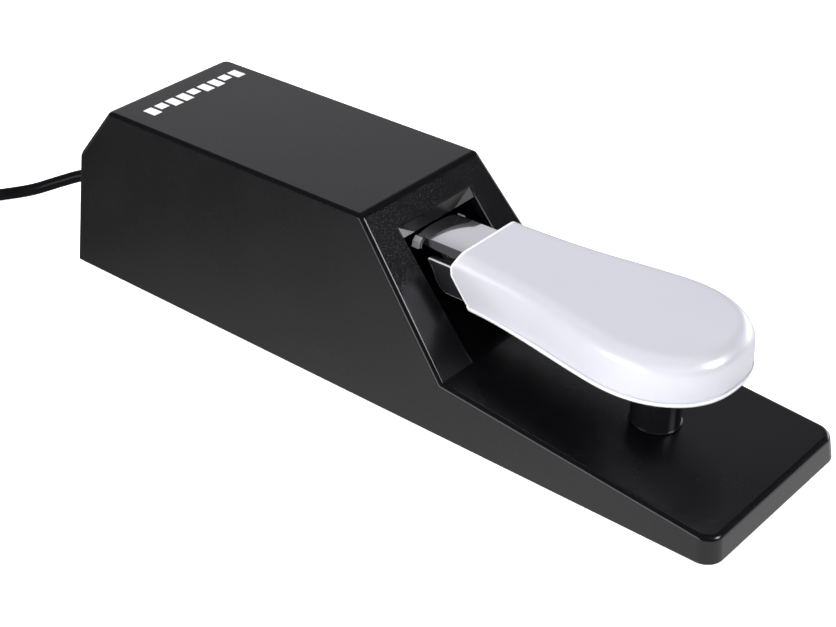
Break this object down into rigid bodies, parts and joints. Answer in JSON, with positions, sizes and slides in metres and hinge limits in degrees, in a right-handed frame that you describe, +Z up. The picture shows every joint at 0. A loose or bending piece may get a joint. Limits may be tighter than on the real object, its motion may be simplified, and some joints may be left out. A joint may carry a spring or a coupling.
{
  "type": "sustain pedal",
  "caption": "Piano-style sustain foot pedal: long black housing with a sloping front and low tongue, sprung lever with a satin silver foot plate, cable and quarter-inch plug.",
  "frame": {"origin": "the middle of the bottom plate's flat underside, 2.1 mm above the floor that the feet stand on", "axes": "+Z up, the pedal points towards -Y, the cable leaves towards +Y, the width runs along X"},
  "size_m": [0.185, 0.3471, 0.0611],
  "materials": {
    "black_plastic": "fine satin grain",
    "black_rubber": "matte",
    "chromed_steel": "polished",
    "satin_chrome": "satin",
    "zinc_steel": "zinc plated",
    "black_steel": "semi gloss",
    "white_nylon": "moulded",
    "grey_felt": "felt",
    "board_green": "solder mask",
    "red_plastic": "moulded",
    "gloss_cable": "glossy sheath"
  },
  "bodies": {
    "housing": {"upper_housing": "black_plastic", "bottom_plate": "black_plastic", "rubber_foot_front_left": "black_rubber", "rubber_foot_front_right": "black_rubber", "rubber_foot_rear_left": "black_rubber", "rubber_foot_rear_right": "black_rubber", "bottom_screw_front_left": "zinc_steel", "bottom_screw_front_right": "zinc_steel", "bottom_screw_mid_left": "zinc_steel", "bottom_screw_mid_right": "zinc_steel", "bottom_screw_rear_left": "zinc_steel", "bottom_screw_rear_right": "zinc_steel", "pivot_frame": "zinc_steel", "frame_screw_front": "zinc_steel", "frame_screw_rear": "zinc_steel", "pivot_pin": "zinc_steel", "pin_clip": "black_steel", "return_spring": "zinc_steel", "spring_seat": "white_nylon", "up_stop_felt": "grey_felt", "stop_post": "black_plastic", "stop_bumper": "black_rubber", "post_screw": "zinc_steel", "switch_body": "black_plastic", "switch_bracket": "zinc_steel", "switch_screw_front": "zinc_steel", "switch_screw_rear": "zinc_steel", "bracket_screw_front": "zinc_steel", "bracket_screw_rear": "zinc_steel", "circuit_board": "board_green", "polarity_switch": "zinc_steel", "cable": "gloss_cable", "strain_relief": "black_rubber", "cable_clamp": "white_nylon", "clamp_screw": "zinc_steel", "plug_handle": "black_rubber", "plug_sleeve": "zinc_steel", "plug_ring": "black_plastic", "plug_tip": "zinc_steel"},
    "lever": {"lever_arm": "chromed_steel", "pedal_bracket": "black_steel", "neck_pad_left": "grey_felt", "neck_pad_right": "grey_felt", "pedal_cap": "satin_chrome", "pedal_screw_front": "zinc_steel", "pedal_screw_rear": "zinc_steel", "pivot_bush_left": "white_nylon", "pivot_bush_right": "white_nylon", "spring_cap": "white_nylon"},
    "plunger": {"switch_plunger": "red_plastic"},
    "polarity": {"polarity_knob": "white_nylon"}
  },
  "joints": [
    {"name": "pedal_press", "type": "hinge", "parent": "housing", "child": "lever", "pos_m": [0, 0.07875, 0.0294], "axis": [1, 0, 0], "range_deg": [0, 6], "stiffness_Nm_per_rad": 4, "deforming": ["return_spring"]},
    {"name": "plunger_press", "type": "slide", "parent": "housing", "child": "plunger", "axis": [0, 0, -1], "range_m": [0, 0.0027]},
    {"name": "polarity_slide", "type": "slide", "parent": "housing", "child": "polarity", "axis": [1, 0, 0], "range_m": [0, 0.003]}
  ],
  "couplings": [
    {"joint": "plunger_press", "follows": "pedal_press", "m_per_rad": 0.025}
  ]
}
